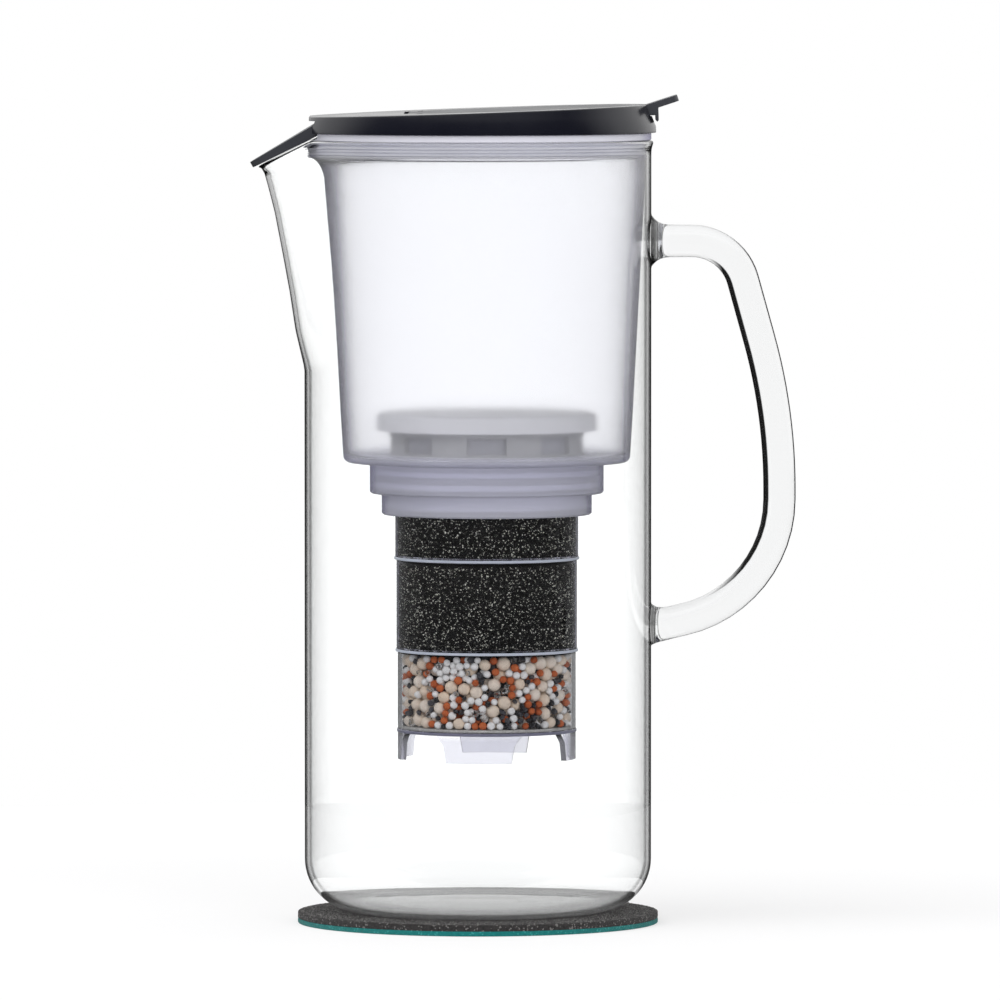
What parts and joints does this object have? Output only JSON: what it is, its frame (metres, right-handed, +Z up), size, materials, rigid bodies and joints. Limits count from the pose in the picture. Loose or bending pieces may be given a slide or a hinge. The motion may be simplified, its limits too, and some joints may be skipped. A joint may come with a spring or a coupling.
{
  "type": "glass water filter pitcher",
  "caption": "Tall glass jug with a pulled spout and rod handle, holding a frosted filling hopper, a stacked filter cartridge and a hinged dark lid, on a round felt coaster.",
  "frame": {"origin": "middle of the coaster's underside, on the jug's axis", "axes": "+Z up, +X towards the handle, -X towards the spout"},
  "size_m": [0.1972, 0.1306, 0.2997],
  "materials": {
    "teal_felt": "felted, matte",
    "dark_felt": "felted, flecked",
    "clear_glass": "clear, fire polished",
    "frosted_plastic": "translucent, finely frosted",
    "pale_silicone": "soft, matte",
    "dark_plastic": "satin, fine grain",
    "grey_plastic": "satin",
    "clear_plastic": "clear, moulded",
    "black_rubber": "matte",
    "pin_steel": "drawn wire",
    "screen_mesh": "fine weave",
    "white_felt": "needled pad",
    "carbon": "granular, glinting",
    "cream_ceramic": "matte, porous",
    "white_ceramic": "matte, porous",
    "red_clay": "matte, fired clay",
    "dark_mineral": "rough grain"
  },
  "bodies": {
    "coaster": {"coaster_base_felt": "teal_felt", "coaster_top_felt": "dark_felt"},
    "jug": {"glass_jug": "clear_glass", "glass_handle": "clear_glass"},
    "hopper": {"hopper": "frosted_plastic", "rim_seal": "pale_silicone"},
    "lid": {"lid_body": "dark_plastic", "lid_seal": "pale_silicone", "fill_flap_pin": "pin_steel", "spout_flap_pin": "pin_steel"},
    "fill_flap": {"fill_flap": "dark_plastic"},
    "spout_flap": {"spout_flap": "dark_plastic"},
    "cartridge": {"cartridge_cap": "grey_plastic", "cartridge_head": "grey_plastic", "cartridge_o_rings": "black_rubber", "inlet_screen": "screen_mesh", "inlet_felt": "white_felt", "upper_chamber": "clear_plastic", "middle_chamber": "clear_plastic", "lower_chamber": "clear_plastic", "upper_felt": "white_felt", "middle_felt": "white_felt", "lower_felt": "white_felt", "upper_carbon_bed": "carbon", "middle_carbon_bed": "carbon", "mineral_core": "cream_ceramic", "cream_balls": "cream_ceramic", "white_balls": "white_ceramic", "red_balls": "red_clay", "dark_grains": "dark_mineral"}
  },
  "joints": [
    {"name": "jug_lift", "type": "slide", "parent": "coaster", "child": "jug", "axis": [0, 0, 1], "range_m": [0, 0.1]},
    {"name": "hopper_lift", "type": "slide", "parent": "jug", "child": "hopper", "axis": [0, 0, 1], "range_m": [0, 0.235]},
    {"name": "lid_lift", "type": "slide", "parent": "hopper", "child": "lid", "axis": [0, 0, 1], "range_m": [0, 0.05]},
    {"name": "cartridge_lift", "type": "slide", "parent": "hopper", "child": "cartridge", "axis": [0, 0, 1], "range_m": [0, 0.09]},
    {"name": "fill_flap_hinge", "type": "hinge", "parent": "lid", "child": "fill_flap", "pos_m": [-0.02392, 0, 0.29111], "axis": [0, -1, 0], "range_deg": [0, 95]},
    {"name": "spout_flap_hinge", "type": "hinge", "parent": "lid", "child": "spout_flap", "pos_m": [-0.0572, 0, 0.2877], "axis": [0, 1, 0], "range_deg": [0, 36]}
  ]
}
